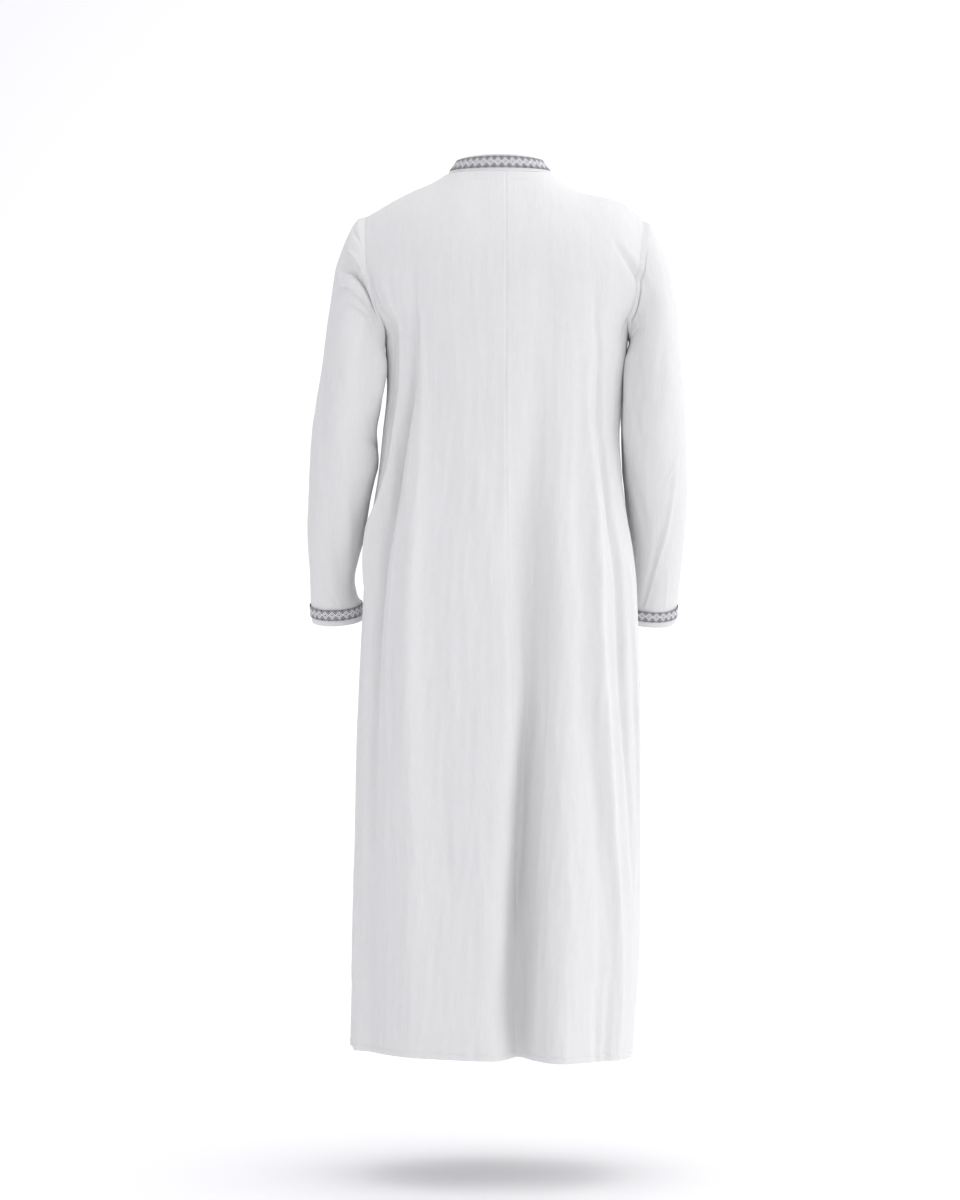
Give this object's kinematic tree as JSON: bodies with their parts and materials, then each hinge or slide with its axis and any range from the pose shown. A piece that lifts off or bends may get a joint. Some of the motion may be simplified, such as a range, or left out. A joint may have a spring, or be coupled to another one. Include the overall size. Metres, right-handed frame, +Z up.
{
  "type": "kaftan",
  "caption": "Ankle-length kaftan with a stand collar, a patterned tape on the collar and cuffs, long set-in sleeves and a short buttoned neck opening.",
  "frame": {"origin": "midway between the two neck points of the shoulder seams, where the garment hangs on its wearer", "axes": "+Z up, the front of the garment faces -Y, +X is the wearer's left side"},
  "size_m": [0.6107, 0.3492, 1.4301],
  "materials": {
    "cloth": "matt slubbed weave",
    "tape": "matt woven tape of white diamonds on charcoal",
    "button": "soft gloss"
  },
  "bodies": {
    "root": {"back_left": "cloth", "back_right": "cloth", "front": "cloth", "placket": "cloth", "sleeve_left": "cloth", "sleeve_right": "cloth", "collar": "cloth", "collar_tape": "tape", "cuff_tape_left": "tape", "cuff_tape_right": "tape", "button_1": "button", "button_2": "button", "button_3": "button", "button_4": "button"}
  },
  "joints": []
}
